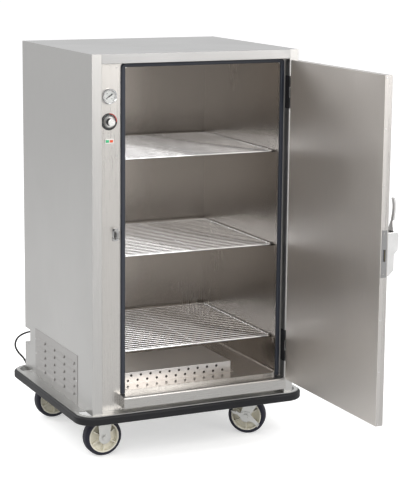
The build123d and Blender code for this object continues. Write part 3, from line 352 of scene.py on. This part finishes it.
# The CAD nodes that wear each finish
DRESS = {
    "side": "side_panel_left side_panel_right back_panel",
    "front": "front_frame control_plate",
    "top": "top_panel",
    "deck": "bottom_pan base_deck bumper_channel",
    "liner": "liner_walls liner_back shelf_ledges",
    "liner_floor": "liner_ends",
    "wool": "insulation door_core",
    "gasket": "door_gasket",
    "sill": "door_sill",
    "satin": "screws door_rivets",
    "latch": "latch_case latch_lever",
    "strike": "strike",
    "chrome": "thermometer_case shelf_low shelf_middle shelf_high",
    "card": "thermometer_dial",
    "glass": "thermometer_glass",
    "dial_black": "dial_plate",
    "body_black": "thermostat",
    "knob": "thermostat_knob",
    "bezel": "pilot_bezel",
    "lens": "pilot_lenses",
    "hinge": "hinge_frame_leaves hinge_door_leaves",
    "door_face": "door_outer_pan",
    "door_inner": "door_inner_pan",
    "dark_steel_and_recess_shade": "latch_bolt",
    "cover": "heater_cover",
    "element": "heating_element",
    "vent": "vent_panel",
    "bumper": "bumper",
    "zinc": "rigid_forks swivel_plates fork_front_right fork_rear_right "
            "brake_front_right brake_rear_right",
    "hub": "hub_front_left hub_rear_left hub_front_right hub_rear_right",
    "tyre": "tyre_front_left tyre_rear_left tyre_front_right tyre_rear_right",
    "cord": "strain_relief cord cord_coil plug",
}
for key, names in DRESS.items():
    for name in names.split():
        mesh = nodes[name].data
        mesh.materials.clear()
        mesh.materials.append(finishes[key])


# Cord: its route from the strain relief to the floor, chosen as in the part's source
CORD_RADIUS = 0.004
FLOOR_CORD = -196
ROUTE = [(50, 739, 147), (50, 777, 147), (27, 813, 139), (-7, 840, 116), (-20, 849, 79),
         (-6, 843, 45), (18, 835, 20), (34, 831, -22), (50, 835, -72), (75, 846, -119),
         (108, 861, -158), (147, 877, -186), (190, 884, FLOOR_CORD), (232, 884, FLOOR_CORD)]

# Coil: its centre, and how far its radius changes in each half turn. The sixth also climbs.
COIL = (240, 824)
COIL_RADIUS = 60
COIL_PITCH = 8.6
COIL_END = 8
POINTS_PER_TURN = 12
HALF_TURNS = [-COIL_PITCH / 2] * 6 + [COIL_PITCH] + [COIL_PITCH / 2] * 3
CLIMBING_TURN = 5


def coil_points():
    """Control points of the coil: in along the floor, up one layer and out again."""
    radii = [COIL_RADIUS]
    for grow in HALF_TURNS:
        radii.append(radii[-1] + grow)
    half = POINTS_PER_TURN // 2
    step = pi / half
    points = []
    for index in range(half * len(HALF_TURNS)):
        along = (index + 0.5) / half
        turn = int(along)
        part = along - turn
        radius = (radii[turn] * (1 - part) + radii[turn + 1] * part) / cos(step / 2)
        climb = min(max(along - CLIMBING_TURN, 0), 1)
        angle = along * pi
        points.append((COIL[0] + radius * sin(angle), COIL[1] + radius * cos(angle),
                       FLOOR_CORD + COIL_PITCH * climb))
    end = (COIL[0] + COIL_END, COIL[1] + radii[-1], FLOOR_CORD + COIL_PITCH)
    return points + [end]


def make_cord():
    """The power cord as one smooth curve from its strain relief to its plug."""
    points = [at(*point) for point in ROUTE + coil_points()]
    curve = bpy.data.curves.new("power_cord", "CURVE")
    curve.dimensions = "3D"
    curve.bevel_depth = CORD_RADIUS
    curve.bevel_resolution = 5
    curve.resolution_u = 8
    curve.use_fill_caps = True
    spline = curve.splines.new("NURBS")
    spline.points.add(len(points) - 1)
    for place, point in zip(spline.points, points):
        place.co = (*point, 1)
    spline.order_u = 3
    spline.use_endpoint_u = True
    curve.materials.append(finishes["cord"])
    cord = bpy.data.objects.new("power_cord", curve)
    scene.collection.objects.link(cord)
    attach(cord, "cabinet")
    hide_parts("cord", "cord_coil")


make_cord()


# Small printed and stamped details
PRINT = 0.08


class Piece:
    """A mesh piece put together from flat bars and bands that face the front."""

    def __init__(self, name):
        self.name = name
        self.mesh = bmesh.new()

    def prism(self, outline, y, thickness):
        """A prism of an outline of x and z in millimetres, from y towards the front."""
        front = [self.mesh.verts.new(at(x, y - thickness, z)) for x, z in outline]
        back = [self.mesh.verts.new(at(x, y, z)) for x, z in outline]
        self.mesh.faces.new(front)
        self.mesh.faces.new(back[::-1])
        count = len(outline)
        for i in range(count):
            j = (i + 1) % count
            self.mesh.faces.new((front[i], back[i], back[j], front[j]))

    def bar(self, centre, angle, inner, outer, width, y, thickness):
        """A bar that points away from a centre, its angle clockwise from the top."""
        along = Vector((sin(angle), cos(angle)))
        side = Vector((cos(angle), -sin(angle))) * width / 2
        middle = Vector(centre)
        corners = [middle + along * inner - side, middle + along * inner + side,
                   middle + along * outer + side, middle + along * outer - side]
        self.prism([tuple(corner) for corner in corners], y, thickness)

    def arc(self, centre, start, end, inner, outer, y, thickness, steps):
        """A curved band about a centre between two angles."""
        angles = [start + (end - start) * i / steps for i in range(steps + 1)]
        outline = [(centre[0] + outer * sin(a), centre[1] + outer * cos(a)) for a in angles]
        outline += [(centre[0] + inner * sin(a), centre[1] + inner * cos(a)) for a in angles[::-1]]
        self.prism(outline, y, thickness)

    def done(self, finish, body):
        """Make the piece's object, which rides on a body and wears a finish."""
        bmesh.ops.recalc_face_normals(self.mesh, faces=self.mesh.faces)
        data = bpy.data.meshes.new(self.name)
        self.mesh.to_mesh(data)
        self.mesh.free()
        data.materials.append(finishes[finish])
        piece = bpy.data.objects.new(self.name, data)
        scene.collection.objects.link(piece)
        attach(piece, body)


def numerals(name, entries, centre, radius, size, y, finish):
    """Generic numbers set round a dial."""
    stand_off = 0.05
    for label, angle in entries:
        text = bpy.data.curves.new(f"{name}_{label}", "FONT")
        text.body = label
        text.size = size / 1000
        text.align_x = "CENTER"
        text.align_y = "CENTER"
        text.extrude = PRINT / 2 / 1000
        text.resolution_u = 3
        text.materials.append(finishes[finish])
        piece = bpy.data.objects.new(f"{name}_{label}", text)
        scene.collection.objects.link(piece)
        place = at(centre[0] + radius * sin(angle), y - stand_off, centre[1] + radius * cos(angle))
        piece.matrix_world = Matrix.Translation(place) @ Matrix.Rotation(pi / 2, 4, "X")
        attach(piece, "cabinet")


def gauge_marks():
    """Scale of the dial thermometer: a ring, graduations and numbers."""
    first, sweep, spaces = -135, 270, 40
    ring, ring_width = 23, 0.6
    long_start, long_width = 18.6, 0.9
    short_start, short_width = 20.6, 0.45
    number_radius, number_size = 14.2, 5.2
    marks = Piece("thermometer_scale")
    for index in range(spaces + 1):
        angle = radians(first + index * sweep / spaces)
        long_mark = index % 5 == 0
        marks.bar(GAUGE, angle, long_start if long_mark else short_start, ring,
                  long_width if long_mark else short_width, CARD_Y, PRINT)
    marks.arc(GAUGE, radians(first), radians(first + sweep), ring, ring + ring_width,
              CARD_Y, PRINT, 60)
    marks.done("ink", "cabinet")
    labels = [(str(50 * (i + 1)), radians(first + i * sweep / 3)) for i in range(4)]
    numerals("thermometer_number", labels, GAUGE, number_radius, number_size, CARD_Y, "ink")


def dial_marks():
    """Scale round the thermostat knob, with a red band over its hot quarter."""
    first, space, spaces = -150, 15, 20
    start, long_end, short_end, width = 24.4, 27.2, 26, 0.9
    band_inner, band_outer, band_start, band_end = 29, 31.2, 2, 92
    marks = Piece("thermostat_scale")
    for index in range(spaces + 1):
        end = long_end if index % 2 == 0 else short_end
        marks.bar(KNOB, radians(first + index * space), start, end, width, DIAL_Y, PRINT)
    marks.done("white_ink", "cabinet")
    band = Piece("thermostat_red_band")
    band.arc(KNOB, radians(band_start), radians(band_end), band_inner, band_outer, DIAL_Y, 0.09, 24)
    band.done("red_ink", "cabinet")


def knob_pointer():
    """Bar in the knob's skirt, at its top when the knob is at rest."""
    inner, outer, width, thickness = 15.6, 22.4, 2.2, 0.25
    pointer = Piece("knob_pointer")
    pointer.bar(KNOB, 0, inner, outer, width, COLUMN_Y - 3.8, thickness)
    pointer.done("ink", "thermostat_knob")


def screw_recess_shade():
    """Painted shade of the cross recesses of the screws in the control column's plate: thin dark
    crosses on the heads.
    """
    arm, width, depth = 1.7, 0.6, 0.07
    crosses = Piece("screw_recess_shade")
    for x in SCREW_X:
        for z in SCREW_Z:
            for turn in (25, 115):
                crosses.bar((x, z), radians(turn + x), -arm, arm, width, SCREW_HEAD_Y, depth)
    crosses.done("dark_steel_and_recess_shade", "cabinet")


gauge_marks()
dial_marks()
knob_pointer()
screw_recess_shade()


# Studio
def make_floor():
    """A plain pale floor that looks white to the camera and keeps the cabinet's shadow."""
    half = 60
    darker, paler = (0.42, 0.42, 0.42), (0.82, 0.82, 0.82)
    camera_glow, metal_glow = 0.42, 0.36
    data = bpy.data.meshes.new("floor")
    data.from_pydata([(-half, -half, 0), (half, -half, 0), (half, half, 0), (-half, half, 0)], [],
                     [(0, 1, 2, 3)])
    floor = bpy.data.objects.new("floor", data)
    scene.collection.objects.link(floor)
    material = bpy.data.materials.new("floor")
    shading = Nodes(material)
    shading.tree.nodes.clear()
    path = shading.add("ShaderNodeLightPath")
    camera_ray = path.outputs["Is Camera Ray"]
    matt = shading.add("ShaderNodeBsdfDiffuse")
    shading.link(shading.mix(camera_ray, darker, paler), matt.inputs["Color"])
    for_metal = shading.compute("MULTIPLY", path.outputs["Is Glossy Ray"], metal_glow)
    strength = shading.compute("MULTIPLY_ADD", camera_ray, camera_glow, for_metal)
    glow = shading.add("ShaderNodeEmission")
    glow.inputs["Color"].default_value = (1, 1, 1, 1)
    shading.link(strength, glow.inputs["Strength"])
    total = shading.add("ShaderNodeAddShader")
    shading.link(matt.outputs[0], total.inputs[0])
    shading.link(glow.outputs[0], total.inputs[1])
    output = shading.add("ShaderNodeOutputMaterial")
    shading.link(total.outputs[0], output.inputs["Surface"])
    data.materials.append(material)


def make_world():
    """White for the camera, and for metal a studio whose brightness changes softly."""
    darkest, brightest = 0.62, 1.05
    world = bpy.data.worlds.new("studio")
    scene.world = world
    shading = Nodes(world)
    shading.tree.nodes.clear()
    coords = shading.add("ShaderNodeTexCoord")
    clouds = shading.add("ShaderNodeTexNoise")
    clouds.inputs["Scale"].default_value = 1.6
    clouds.inputs["Detail"].default_value = 1.0
    shading.link(coords.outputs["Generated"], clouds.inputs["Vector"])
    studio = shading.spread(clouds.outputs["Fac"], darkest, brightest, 0.35, 0.65)
    path = shading.add("ShaderNodeLightPath")
    choose = shading.add("ShaderNodeMix", data_type="FLOAT")
    shading.link(path.outputs["Is Camera Ray"], choose.inputs[0])
    shading.link(studio, choose.inputs[2])
    choose.inputs[3].default_value = 1.0
    background = shading.add("ShaderNodeBackground")
    background.inputs["Color"].default_value = (1, 1, 1, 1)
    shading.link(choose.outputs[0], background.inputs["Strength"])
    output = shading.add("ShaderNodeOutputWorld")
    shading.link(background.outputs[0], output.inputs["Surface"])


def area_light(name, place, size, energy, color=(1, 1, 1)):
    """A large soft lamp aimed at the cabinet's middle."""
    middle = Vector((0, 0, 0.8))
    data = bpy.data.lights.new(name, "AREA")
    data.shape = "RECTANGLE"
    data.size, data.size_y = size
    data.energy = energy
    data.color = color
    lamp = bpy.data.objects.new(name, data)
    scene.collection.objects.link(lamp)
    lamp.location = place
    lamp.rotation_euler = (middle - Vector(place)).to_track_quat("-Z", "Y").to_euler()


make_floor()
make_world()
area_light("key", (-3.6, -4.2, 4.2), (3.0, 3.0), 150)
area_light("fill", (3.2, -6.2, 2.8), (3.0, 3.0), 140, (1.0, 0.97, 0.94))
area_light("overhead", (0.0, 0.6, 5.0), (4.0, 4.0), 80)
area_light("rear", (-4.2, 4.6, 4.4), (3.0, 2.4), 150)
